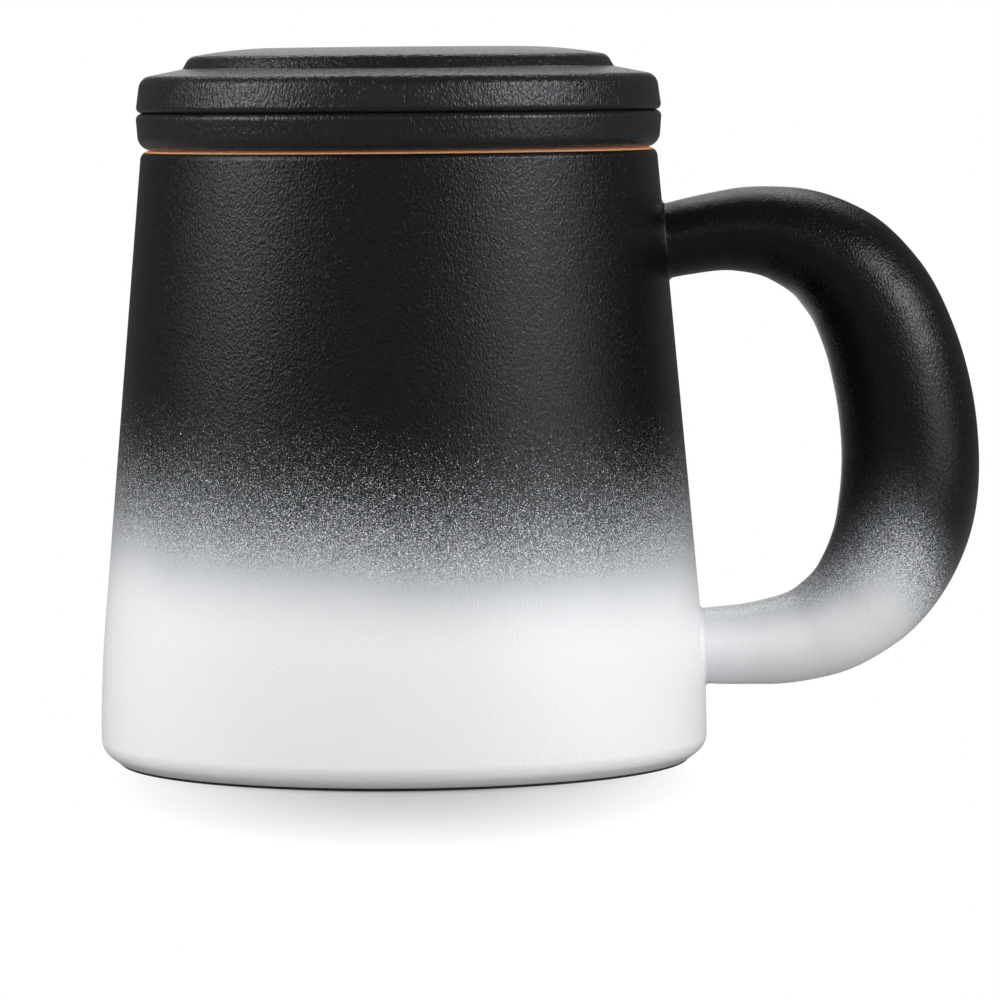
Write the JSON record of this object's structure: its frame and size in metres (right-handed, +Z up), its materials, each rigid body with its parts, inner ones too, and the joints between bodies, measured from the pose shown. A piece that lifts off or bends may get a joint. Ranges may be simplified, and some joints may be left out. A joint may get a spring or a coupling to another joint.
{
  "type": "lidded tea mug with infuser",
  "caption": "Tapered stoneware tea mug with a thick D-shaped handle, a lift-out ceramic strainer with a wide collar, and a lift-off lid with a raised grip plate.",
  "frame": {"origin": "centre of the foot ring, on the plane the mug stands on", "axes": "+Z up along the mug's axis, +X towards the handle, +Y across the handle"},
  "size_m": [0.1369, 0.0942, 0.1107],
  "materials": {
    "faded_glaze": "matte sprayed glaze, black above fading to white below",
    "black_glaze": "matte black glaze with a fine sandy orange-peel"
  },
  "bodies": {
    "mug": {"mug_body": "faded_glaze", "mug_handle": "faded_glaze"},
    "infuser": {"infuser": "black_glaze"},
    "lid": {"lid": "black_glaze"}
  },
  "joints": [
    {"name": "infuser_lift", "type": "slide", "parent": "mug", "child": "infuser", "axis": [0, 0, 1], "range_m": [0, 0.09]},
    {"name": "lid_lift", "type": "slide", "parent": "infuser", "child": "lid", "axis": [0, 0, 1], "range_m": [0, 0.05]}
  ]
}
